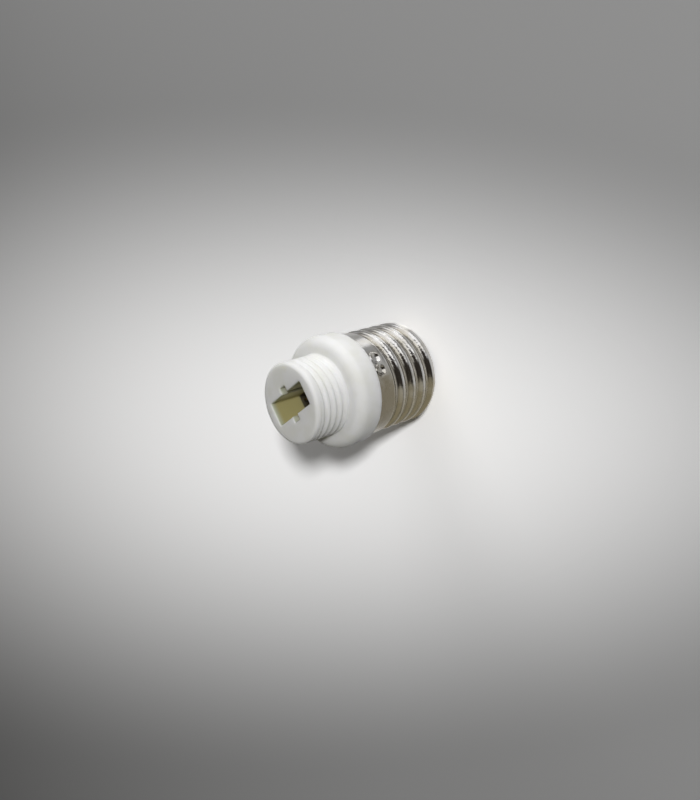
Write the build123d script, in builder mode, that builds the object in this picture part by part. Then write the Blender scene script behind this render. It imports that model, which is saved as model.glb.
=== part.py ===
"""Screw-in lamp socket adapter: a 27 mm screw cap that carries a flat two-pin lamp socket.

The part stands on the flat of its centre contact, with its axis along Z and the lamp slot facing up.
A white moulded body has a threaded nose with the lamp slot, a round collar, and a hollow core that goes
down into the rolled sheet-metal shell. Two folded spring clips sit in chambers under the slot, kept in by
a plate pressed into the core. The shell's shoulder holds the end insulator against the core. One clip's
tail is riveted to the centre contact, and the other's goes out to the shell.
"""

import os
from math import cos, radians, sin, sqrt

from build123d import *

os.makedirs("parts", exist_ok=True)

# Screw cap: thread rolled in thin sheet
THREAD_CREST_DIA = 26.2
THREAD_DEPTH = 1.0  # crest to root
THREAD_PITCH = 3.629
CREST_LAND = 1.0  # plain wall between two turns of the groove
ROOT_LAND = 1.1  # flat bottom of the groove
THREAD_START_ANGLE = 334.5  # where the groove's helix begins, from the slot's length
RUN_OUT = 1.6  # height over which the groove reaches its full depth at each end
SHEET = 0.35
SKIRT_HEIGHT = 3.7  # plain band between the thread and the rim
CAP_HEIGHT = 26.5  # foot of the contact to the shell's rim
LIP_DIA = 17.0  # hole that the conical shoulder leaves
LIP_RISE = 2.4  # foot of the contact to the shoulder's lower edge
SHOULDER_HEIGHT = 3.0
SHOULDER_EDGE = 1.3  # height over which the wall is drawn in from the crest to the shoulder

# Body
COLLAR_DIA = 28.2
COLLAR_HEIGHT = 6.9
COLLAR_FRONT_ROUND = 2.6
COLLAR_ROUND_STEPS = 2
NOSE_DIA = 20.0
NOSE_HEIGHT = 9.9
NOSE_EDGE_CHAMFER = 0.6
CORE_BORE_DIA = 19.2
FIT_GAP = 0.05  # between pieces that are pushed together

# Lamp slot and the chambers under it
SLOT_LENGTH = 13.6
SLOT_WIDTH = 5.8
SLOT_DEPTH = 9.0
NOTCH_WIDTH = 2.0
NOTCH_DEPTH = 1.5
CHAMBER_LENGTH = 16.4
CHAMBER_DEPTH = 9.5  # from the slot's floor to the retaining plate
PARTITION = 2.2  # wall between the two chambers

# Contact clips
PIN_SPACING = 9.0
CLIP_SHEET = 0.4
CLIP_WIDTH = 4.0
CLIP_PINCH = 0.5  # gap between the two leaves at rest
CLIP_FLARE = 2.6  # gap between the leaves' tips
CLIP_BASE_GAP = 4.4  # gap between the leaves at the web
CLIP_TOP_CLEARANCE = 0.6  # slot's floor down to the leaves' tips
CLIP_PINCH_DROP = 2.8  # leaves' tips down to the pinch
CLIP_BEND = 0.5
TAIL_WIDTH = 2.4
TAIL_BEND = 0.8
TAIL_CLEARANCE = 0.2
EYE_WIDTH = 4.4  # end of the tail that the centre contact's shank goes through
TONGUE_Z = 15.0  # where the other tail turns out to the shell
TONGUE_LENGTH = 6.0  # part that lies along the shell's wall

# Retaining plate, end insulator and centre contact
PLATE_THICKNESS = 1.5
FLANGE_HEIGHT = 0.8  # from the shoulder's upper edge to the core's end face
CONTACT_DIA = 10.4
CONTACT_PROUD = 1.2
SHANK_DIA = 2.6
PEENED_DIA = 4.2
PEENED_HEIGHT = 0.8

# Places along the axis
RIM_Z = CAP_HEIGHT
COLLAR_TOP_Z = RIM_Z + COLLAR_HEIGHT
FACE_Z = COLLAR_TOP_Z + NOSE_HEIGHT
SLOT_FLOOR_Z = FACE_Z - SLOT_DEPTH
PLATE_TOP_Z = SLOT_FLOOR_Z - CHAMBER_DEPTH
PLATE_BOTTOM_Z = PLATE_TOP_Z - PLATE_THICKNESS
SKIRT_Z = RIM_Z - SKIRT_HEIGHT
SHOULDER_Z = LIP_RISE + SHOULDER_HEIGHT
THREAD_FOOT_Z = SHOULDER_Z + SHOULDER_EDGE
CORE_END_Z = SHOULDER_Z + FLANGE_HEIGHT

# Radii and half sizes
CREST_R = THREAD_CREST_DIA / 2
ROOT_R = CREST_R - THREAD_DEPTH
LIP_R = LIP_DIA / 2
COLLAR_R = COLLAR_DIA / 2
NOSE_R = NOSE_DIA / 2
SHELL_BORE_R = ROOT_R - SHEET
SKIRT_BORE_R = CREST_R - SHEET
CORE_R = SHELL_BORE_R - FIT_GAP
SPIGOT_R = SKIRT_BORE_R - FIT_GAP
CORE_BORE_R = CORE_BORE_DIA / 2
SHOULDER_RISE = SHEET * sqrt(1 + (SHOULDER_HEIGHT / (ROOT_R - LIP_R)) ** 2)  # sheet measured along the axis
SHANK_R = SHANK_DIA / 2
CLIP_X = PIN_SPACING / 2
TAIL_X = CLIP_X + CLIP_WIDTH / 2 - CLIP_SHEET / 2  # middle of the tail's sheet

# Thread of the screw shell: the form of a groove, swept along a helix and a little proud of the wall.
# A cone trims each end, so that the groove fades into the skirt and into the shoulder's edge.
FLANK = (THREAD_PITCH - ROOT_LAND - CREST_LAND) / 2  # height of one flank
GROOVE_PROUD = 0.3
GROOVE_HALF = ROOT_LAND / 2 + FLANK * (THREAD_DEPTH + GROOVE_PROUD) / THREAD_DEPTH
HELIX_Z = THREAD_FOOT_Z - GROOVE_HALF
HELIX_TOP_Z = SKIRT_Z + GROOVE_HALF
TRIM = 1.0  # how far the trimming cones reach past the groove on each side
TRIM_SLOPE = RUN_OUT / THREAD_DEPTH

with BuildPart() as thread_groove:
    with BuildLine():
        Helix(THREAD_PITCH, HELIX_TOP_Z - HELIX_Z, ROOT_R, center=(0, 0, HELIX_Z))
    with BuildSketch(Plane.XZ):
        with BuildLine():
            Polyline(
                (ROOT_R, HELIX_Z - ROOT_LAND / 2),
                (CREST_R + GROOVE_PROUD, HELIX_Z - GROOVE_HALF),
                (CREST_R + GROOVE_PROUD, HELIX_Z + GROOVE_HALF),
                (ROOT_R, HELIX_Z + ROOT_LAND / 2),
                close=True,
            )
        make_face()
    sweep(is_frenet=True)
    for end_z, way in ((THREAD_FOOT_Z, 1), (SKIRT_Z, -1)):
        far_z = end_z - way * (2 * GROOVE_HALF + TRIM_SLOPE * TRIM + TRIM)
        with BuildSketch(Plane.XZ):
            with BuildLine():
                Polyline(
                    (ROOT_R - TRIM, far_z),
                    (CREST_R + TRIM, far_z),
                    (CREST_R + TRIM, end_z - way * TRIM_SLOPE * TRIM),
                    (ROOT_R - TRIM, end_z + way * TRIM_SLOPE * (THREAD_DEPTH + TRIM)),
                    close=True,
                )
            make_face()
        revolve(axis=Axis.Z, mode=Mode.SUBTRACT)


def shoulder_line(inset):
    """Half section of the conical shoulder from the lip to the wall, moved inwards by inset."""
    return [
        (LIP_R, LIP_RISE + inset * SHOULDER_RISE / SHEET),
        (ROOT_R - inset, SHOULDER_Z + inset * (SHOULDER_RISE / SHEET - SHOULDER_HEIGHT / (ROOT_R - LIP_R))),
    ]


# Screw shell: conical shoulder, wall with the rolled thread, and skirt, made as a form that is then bored out
with BuildPart() as screw_shell:
    with BuildSketch(Plane.XZ):
        with BuildLine():
            Polyline(
                (0, LIP_RISE),
                *shoulder_line(0),
                (CREST_R, THREAD_FOOT_Z),
                (CREST_R, RIM_Z),
                (0, RIM_Z),
                close=True,
            )
        make_face()
    revolve(axis=Axis.Z)
    add(thread_groove.part, rotation=(0, 0, THREAD_START_ANGLE), mode=Mode.SUBTRACT)
    with BuildSketch(Plane.XZ):
        with BuildLine():
            Polyline(
                (0, LIP_RISE),
                (LIP_R, LIP_RISE),
                *shoulder_line(SHEET),
                (SHELL_BORE_R, SKIRT_Z),
                (SKIRT_BORE_R, SKIRT_Z),
                (SKIRT_BORE_R, RIM_Z),
                (0, RIM_Z),
                close=True,
            )
        make_face()
    revolve(axis=Axis.Z, mode=Mode.SUBTRACT)
screw_shell.part.label = "screw_shell"
export_step(screw_shell.part, "parts/screw_shell.step")

# Body: nose, collar, spigot inside the skirt and hollow core inside the threaded wall.
# The collar's front edge is rounded in even steps, each a short cone.
collar_edge = [
    (
        COLLAR_R - COLLAR_FRONT_ROUND * (1 - cos(radians(90 * step / COLLAR_ROUND_STEPS))),
        COLLAR_TOP_Z - COLLAR_FRONT_ROUND * (1 - sin(radians(90 * step / COLLAR_ROUND_STEPS))),
    )
    for step in range(COLLAR_ROUND_STEPS + 1)
]

with BuildPart() as socket_body:
    with BuildSketch(Plane.XZ):
        with BuildLine():
            Polyline(
                (0, PLATE_TOP_Z),
                (CORE_BORE_R, PLATE_TOP_Z),
                (CORE_BORE_R, CORE_END_Z),
                (CORE_R, CORE_END_Z),
                (CORE_R, SKIRT_Z + FIT_GAP),
                (SPIGOT_R, SKIRT_Z + FIT_GAP),
                (SPIGOT_R, RIM_Z),
                (COLLAR_R, RIM_Z),
                *collar_edge,
                (NOSE_R, COLLAR_TOP_Z),
                (NOSE_R, FACE_Z - NOSE_EDGE_CHAMFER),
                (NOSE_R - NOSE_EDGE_CHAMFER, FACE_Z),
                (0, FACE_Z),
                close=True,
            )
        make_face()
    revolve(axis=Axis.Z)
    # Lamp slot with a notch in the middle of each long side
    with BuildSketch(Plane.XY.offset(FACE_Z)):
        Rectangle(SLOT_LENGTH, SLOT_WIDTH)
        Rectangle(NOTCH_WIDTH, SLOT_WIDTH + 2 * NOTCH_DEPTH)
    extrude(amount=-SLOT_DEPTH, mode=Mode.SUBTRACT)
    # Chambers for the two clips, open below where the plate closes them
    with BuildSketch(Plane.XY.offset(SLOT_FLOOR_Z)):
        Rectangle(CHAMBER_LENGTH, SLOT_WIDTH)
        Rectangle(PARTITION, SLOT_WIDTH, mode=Mode.SUBTRACT)
    extrude(amount=-CHAMBER_DEPTH, mode=Mode.SUBTRACT)
    # Slot in the core's wall through which one clip's tongue goes out to the shell
    with BuildSketch(Plane.XY.offset(CORE_END_Z)):
        with Locations((CORE_R, 0)):
            Rectangle(2 * (CORE_R - CORE_BORE_R) + 2, TAIL_WIDTH + 2 * TAIL_CLEARANCE)
    extrude(amount=TONGUE_Z + CLIP_SHEET - CORE_END_Z, mode=Mode.SUBTRACT)
socket_body.part.label = "socket_body"
export_step(socket_body.part, "parts/socket_body.step")

# Contact clips: sheet folded to a web and two leaves that close to a pinch and flare at their tips
CLIP_TIP_Z = SLOT_FLOOR_Z - CLIP_TOP_CLEARANCE
PINCH_Z = CLIP_TIP_Z - CLIP_PINCH_DROP
WEB_Z = PLATE_TOP_Z + CLIP_SHEET / 2  # middle of the web's sheet
HALF_SHEET = CLIP_SHEET / 2
LEAF_Y = CLIP_BASE_GAP / 2 + HALF_SHEET
PINCH_Y = CLIP_PINCH / 2 + HALF_SHEET
TIP_Y = CLIP_FLARE / 2 + HALF_SHEET
LEAF_MID_Z = WEB_Z + (PINCH_Z - WEB_Z) / 3

TONGUE_X = sqrt(SHELL_BORE_R**2 - (TAIL_WIDTH / 2) ** 2) - FIT_GAP - HALF_SHEET

with BuildPart() as clip_leaves:
    with BuildSketch(Plane.YZ.offset(CLIP_X)):
        with BuildLine():
            FilletPolyline(
                (-TIP_Y, CLIP_TIP_Z),
                (-PINCH_Y, PINCH_Z),
                (-LEAF_Y, LEAF_MID_Z),
                (-LEAF_Y, WEB_Z),
                (LEAF_Y, WEB_Z),
                (LEAF_Y, LEAF_MID_Z),
                (PINCH_Y, PINCH_Z),
                (TIP_Y, CLIP_TIP_Z),
                radius=CLIP_BEND,
            )
        trace(line_width=CLIP_SHEET)
    extrude(amount=CLIP_WIDTH / 2, both=True)

# One clip's tail goes down to the centre contact, and its eye is riveted under the peened head
with BuildPart() as contact_clip_centre:
    add(clip_leaves.part)
    with BuildSketch(Plane.XZ):
        with BuildLine():
            FilletPolyline(
                (TAIL_X, WEB_Z), (TAIL_X, CORE_END_Z + HALF_SHEET), (EYE_WIDTH / 2, CORE_END_Z + HALF_SHEET),
                radius=TAIL_BEND,
            )
        trace(line_width=CLIP_SHEET)
    extrude(amount=TAIL_WIDTH / 2, both=True)
    with BuildSketch(Plane.XY.offset(CORE_END_Z)):
        Rectangle(EYE_WIDTH, EYE_WIDTH)
        Circle(SHANK_R + FIT_GAP, mode=Mode.SUBTRACT)
    extrude(amount=CLIP_SHEET)
contact_clip_centre.part = contact_clip_centre.part.rotate(Axis.Z, 180)
contact_clip_centre.part.label = "contact_clip_centre"
export_step(contact_clip_centre.part, "parts/contact_clip_centre.step")

# The other clip's tail turns out through the core's slot, and its tongue lies along the shell's wall
with BuildPart() as contact_clip_shell:
    add(clip_leaves.part)
    with BuildSketch(Plane.XZ):
        with BuildLine():
            FilletPolyline(
                (TAIL_X, WEB_Z),
                (TAIL_X, TONGUE_Z),
                (TONGUE_X, TONGUE_Z),
                (TONGUE_X, TONGUE_Z - TONGUE_LENGTH),
                radius=TAIL_BEND,
            )
        trace(line_width=CLIP_SHEET)
    extrude(amount=TAIL_WIDTH / 2, both=True)
contact_clip_shell.part.label = "contact_clip_shell"
export_step(contact_clip_shell.part, "parts/contact_clip_shell.step")

# Retaining plate: closes the chambers, with a slit for each clip's tail
with BuildPart() as retaining_plate:
    with BuildSketch(Plane.XY.offset(PLATE_BOTTOM_Z)):
        Circle(CORE_BORE_R - FIT_GAP)
        for side in (-1, 1):
            with Locations((side * TAIL_X, 0)):
                Rectangle(
                    CLIP_SHEET + 2 * TAIL_CLEARANCE, TAIL_WIDTH + 2 * TAIL_CLEARANCE, mode=Mode.SUBTRACT
                )
    extrude(amount=PLATE_THICKNESS)
retaining_plate.part.label = "retaining_plate"
export_step(retaining_plate.part, "parts/retaining_plate.step")

# End insulator: boss through the shoulder's hole and a flange between shoulder and core
FLANGE_R = SHELL_BORE_R - FIT_GAP
shoulder_inside = shoulder_line(SHEET)

with BuildPart() as end_insulator:
    with BuildSketch(Plane.XZ):
        with BuildLine():
            Polyline(
                (SHANK_R + FIT_GAP, CONTACT_PROUD),
                (LIP_R - FIT_GAP, CONTACT_PROUD),
                (LIP_R - FIT_GAP, shoulder_inside[0][1] + FIT_GAP),
                (FLANGE_R, shoulder_inside[1][1] + FIT_GAP),
                (FLANGE_R, CORE_END_Z),
                (SHANK_R + FIT_GAP, CORE_END_Z),
                close=True,
            )
        make_face()
    revolve(axis=Axis.Z)
end_insulator.part.label = "end_insulator"
export_step(end_insulator.part, "parts/end_insulator.step")

# Centre contact: flat button with a shank through the insulator, peened over inside
with BuildPart() as centre_contact:
    with BuildSketch(Plane.XZ):
        with BuildLine():
            Polyline(
                (0, 0),
                (CONTACT_DIA / 2, 0),
                (CONTACT_DIA / 2, CONTACT_PROUD),
                (SHANK_R, CONTACT_PROUD),
                (SHANK_R, CORE_END_Z + CLIP_SHEET),
                (PEENED_DIA / 2, CORE_END_Z + CLIP_SHEET),
                (SHANK_R, CORE_END_Z + CLIP_SHEET + PEENED_HEIGHT),
                (0, CORE_END_Z + CLIP_SHEET + PEENED_HEIGHT),
                close=True,
            )
        make_face()
    revolve(axis=Axis.Z)
centre_contact.part.label = "centre_contact"
export_step(centre_contact.part, "parts/centre_contact.step")
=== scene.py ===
"""Looks of the screw-in lamp socket adapter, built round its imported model.

Sizes in the classes are millimetres in the part's own frame: the adapter stands on its centre contact,
its axis is Z and the lamp slot lies along X in the upper face. Meshes are turned to metres when they
are made. Fields whose names end in rows or columns count a mesh's points.
"""

import logging
import math
from abc import ABC, abstractmethod
from dataclasses import dataclass
from enum import Enum
from typing import Any, Mapping, Optional, Sequence, Union

import bmesh
import bpy
import numpy as np
from mathutils import Matrix, Vector


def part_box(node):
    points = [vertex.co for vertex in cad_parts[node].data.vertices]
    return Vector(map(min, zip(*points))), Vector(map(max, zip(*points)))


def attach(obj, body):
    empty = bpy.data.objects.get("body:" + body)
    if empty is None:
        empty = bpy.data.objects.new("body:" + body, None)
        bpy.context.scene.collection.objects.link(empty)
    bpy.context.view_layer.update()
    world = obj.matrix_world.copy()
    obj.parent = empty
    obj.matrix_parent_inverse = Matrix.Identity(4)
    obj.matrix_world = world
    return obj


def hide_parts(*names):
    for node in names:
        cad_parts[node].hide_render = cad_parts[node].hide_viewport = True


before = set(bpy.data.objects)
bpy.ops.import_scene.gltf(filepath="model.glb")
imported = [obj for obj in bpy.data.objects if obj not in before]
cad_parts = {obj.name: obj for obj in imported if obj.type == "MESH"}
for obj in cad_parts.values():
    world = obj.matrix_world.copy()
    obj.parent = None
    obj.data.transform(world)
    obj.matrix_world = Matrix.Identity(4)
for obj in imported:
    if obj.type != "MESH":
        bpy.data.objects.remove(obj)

LOG = logging.getLogger("adapter")
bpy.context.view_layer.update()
MM = 0.001
MERGE_DISTANCE = 1e-7
TINY = 1e-9
FINE_STEPS = 14401
BODY = "root"

Array = np.ndarray
Colour = tuple[float, float, float, float]
Span = tuple[float, float]
Triple = tuple[float, float, float]


class Node(Enum):
    """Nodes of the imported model."""

    SHELL = "screw_shell"
    SOCKET = "socket_body"
    CLIP_CENTRE = "contact_clip_centre"
    CLIP_SHELL = "contact_clip_shell"
    PLATE = "retaining_plate"
    INSULATOR = "end_insulator"
    CONTACT = "centre_contact"

    def low(self, axis: int) -> float:
        """Lowest coordinate of the node along an axis, in millimetres."""
        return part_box(self.value)[0][axis] / MM

    def high(self, axis: int) -> float:
        """Highest coordinate of the node along an axis, in millimetres."""
        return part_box(self.value)[1][axis] / MM


class Slot(Enum):
    """Material slots of the record that the new pieces take."""

    WHITE = "body_white"
    NICKEL = "shell_nickel"
    INSULATOR = "insulator"
    CONTACT = "contact_metal"


class LampRole(Enum):
    """What a lamp does for the picture."""

    KEY = "key"
    RIM = "rim"


def srgb(red: int, green: int, blue: int) -> Colour:
    """Linear colour of an 8-bit screen colour, by the standard curve of a straight foot and a power.

    Args:
        red: Red from 0 to 255.
        green: Green from 0 to 255.
        blue: Blue from 0 to 255.

    Returns:
        The linear colour with full alpha.
    """
    screen = np.array([red, green, blue]) / 255
    linear = np.where(screen <= 0.04045, screen / 12.92, ((screen + 0.055) / 1.055) ** 2.4)
    return (float(linear[0]), float(linear[1]), float(linear[2]), 1.0)


def smoothstep(low: float, high: float, value: Array) -> Array:
    """Smooth ramp 3t² − 2t³ from 0 at low to 1 at high.

    Args:
        low: Value at which the ramp starts.
        high: Value at which the ramp ends.
        value: Values to map.

    Returns:
        The ramp for each value.
    """
    t = np.clip((value - low) / (high - low), 0, 1)
    return t * t * (3 - 2 * t)


# Surfaces


@dataclass(frozen=True)
class Sheet:
    """A closed band of surface: a grid of points whose columns run round and whose rows follow a profile.

    Attributes:
        points: Grid [row, column, xyz] in millimetres.
        loop_rows: Whether the last row joins the first again.
        cap_first: Whether the first row is closed with a fan to its middle.
        cap_last: Whether the last row is closed with a fan to its middle.
    """

    points: Array
    loop_rows: bool = False
    cap_first: bool = False
    cap_last: bool = False

    def mesh_data(self, start: int) -> tuple[Array, list[list[int]]]:
        """Vertices and faces, turned so that a profile that runs down the outside faces outwards.

        Args:
            start: Index of the first vertex in the mesh that the sheet joins.

        Returns:
            The vertices and the faces' vertex indices.
        """
        rows, columns = self.points.shape[:2]
        index = start + np.arange(rows * columns).reshape(rows, columns)
        here = index if self.loop_rows else index[:-1]
        after = np.roll(index, -1, axis=0) if self.loop_rows else index[1:]
        quads = np.stack([here, after, np.roll(after, -1, axis=1), np.roll(here, -1, axis=1)], axis=-1)
        faces = quads.reshape(-1, 4).tolist()
        vertices = self.points.reshape(-1, 3)
        for wanted, row, turn in ((self.cap_first, 0, 1), (self.cap_last, -1, -1)):
            if wanted:
                ring = index[row]
                centre = np.full(columns, start + len(vertices))
                faces += np.stack([centre, ring, np.roll(ring, -1)][:: turn], axis=-1).tolist()
                vertices = np.vstack([vertices, self.points[row].mean(axis=0)])
        return vertices, faces


def line(start: Span, end: Span, count: int) -> Array:
    """Straight stretch of a profile: start plus even shares of the way to the end, which is left out.

    Args:
        start: First radius and height.
        end: Last radius and height.
        count: Number of points.

    Returns:
        The points [count, 2].
    """
    share = np.linspace(0, 1, count, endpoint=False)[:, None]
    return np.array(start) + share * (np.array(end) - np.array(start))


def arc(centre: Span, radius: float, start: float, end: float, count: int) -> Array:
    """Round stretch of a profile: centre plus radius times cosine and sine of an even run of angles.

    Args:
        centre: Radius and height of the arc's centre.
        radius: Radius of the arc.
        start: First angle in degrees, from the outward direction towards up.
        end: Last angle in degrees.
        count: Number of points, both ends counted.

    Returns:
        The points [count, 2].
    """
    angle = np.radians(np.linspace(start, end, count))
    return np.array(centre) + radius * np.stack([np.cos(angle), np.sin(angle)], axis=-1)


def angles(count: int, detail: Sequence[float] = (), width: float = 2.5, gain: float = 6.0) -> Array:
    """Angles round the axis, closer together near given ones.

    The spacing follows the inverse of a density, one plus a bell at each angle of detail: the running sum of
    the density is inverted at even steps.

    Args:
        count: Number of angles.
        detail: Angles in degrees that need more points.
        width: Width of each bell in degrees.
        gain: Height of each bell.

    Returns:
        The angles in radians, from minus half a turn upwards.
    """
    fine = np.linspace(-180, 180, FINE_STEPS)
    away = (fine[:, None] - np.array(detail)[None, :] + 180) % 360 - 180
    density = 1 + gain * np.exp(-((away / width) ** 2)).sum(axis=1)
    total = np.concatenate([[0], np.cumsum((density[1:] + density[:-1]) / 2)])
    even = np.linspace(0, total[-1], count, endpoint=False)
    return np.radians(np.interp(even, total, fine))


def round_grid(radius: Array, height: Array, theta: Array) -> Array:
    """Points radius·cos θ, radius·sin θ, height.

    Args:
        radius: Radii that broadcast to [row, angle].
        height: Heights that broadcast to [row, angle].
        theta: Angles in radians.

    Returns:
        The points [row, angle, xyz].
    """
    radius, height, theta = np.broadcast_arrays(radius, height, theta[None, :])
    return np.stack([radius * np.cos(theta), radius * np.sin(theta), height], axis=-1)


def lathe(profile: Array, theta: Array) -> Array:
    """A profile turned about the axis.

    Args:
        profile: Radii and heights [row, 2].
        theta: Angles in radians.

    Returns:
        The points [row, angle, xyz].
    """
    return round_grid(profile[:, :1], profile[:, 1:], theta)


def rounded_rectangle(theta: Array, half_x: float, half_y: float, corner: float) -> Array:
    """Distance from the middle of a rounded rectangle to its outline.

    A ray meets the end at half_x / |cos θ|, the side at half_y / |sin θ|, or, between them, the corner's
    circle at the larger root of the ray's quadratic with that circle.

    Args:
        theta: Directions in radians.
        half_x: Half of the length along X.
        half_y: Half of the width along Y.
        corner: Radius of the corners.

    Returns:
        The distance in each direction.
    """
    ray_x = np.maximum(np.abs(np.cos(theta)), TINY)
    ray_y = np.maximum(np.abs(np.sin(theta)), TINY)
    to_end = half_x / ray_x
    to_side = half_y / ray_y
    centre_x, centre_y = half_x - corner, half_y - corner
    along = centre_x * ray_x + centre_y * ray_y
    inside = np.maximum(along**2 - centre_x**2 - centre_y**2 + corner**2, 0)
    to_corner = along + np.sqrt(inside)
    on_end = to_end * ray_y <= centre_y
    on_side = to_side * ray_x <= centre_x
    return np.where(on_end, to_end, np.where(on_side, to_side, to_corner))


# Shader nodes


class Value:
    """A shader value. Its operators add Math nodes."""

    def __init__(self, graph: "Graph", socket: bpy.types.NodeSocket) -> None:
        """Keeps the socket and the graph that it belongs to."""
        self.graph = graph
        self.socket = socket

    def __add__(self, other: "Operand") -> "Value":
        """Sum."""
        return self.graph.math("ADD", self, other)

    def __radd__(self, other: "Operand") -> "Value":
        """Sum with a number on the left."""
        return self.graph.math("ADD", other, self)

    def __sub__(self, other: "Operand") -> "Value":
        """Difference."""
        return self.graph.math("SUBTRACT", self, other)

    def __rsub__(self, other: "Operand") -> "Value":
        """Difference with a number on the left."""
        return self.graph.math("SUBTRACT", other, self)

    def __mul__(self, other: "Operand") -> "Value":
        """Product."""
        return self.graph.math("MULTIPLY", self, other)

    def __rmul__(self, other: "Operand") -> "Value":
        """Product with a number on the left."""
        return self.graph.math("MULTIPLY", other, self)

    def __truediv__(self, other: "Operand") -> "Value":
        """Quotient."""
        return self.graph.math("DIVIDE", self, other)

    def __rtruediv__(self, other: "Operand") -> "Value":
        """Quotient with a number on the left."""
        return self.graph.math("DIVIDE", other, self)

    def __pow__(self, other: "Operand") -> "Value":
        """Power."""
        return self.graph.math("POWER", self, other)

    def __rpow__(self, other: "Operand") -> "Value":
        """Power with a number on the left."""
        return self.graph.math("POWER", other, self)


Operand = Union[Value, float]


@dataclass(frozen=True)
class Pattern:
    """Fractal noise on a surface.

    Attributes:
        scale: Features per millimetre.
        detail: Octaves.
        band: Values between which a smooth ramp turns the noise from 0 to 1, or None for the noise itself.
        stretch: Factors that the place is multiplied by first, or None.
    """

    scale: float
    detail: float
    band: Optional[Span] = None
    stretch: Optional[Triple] = None


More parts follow.
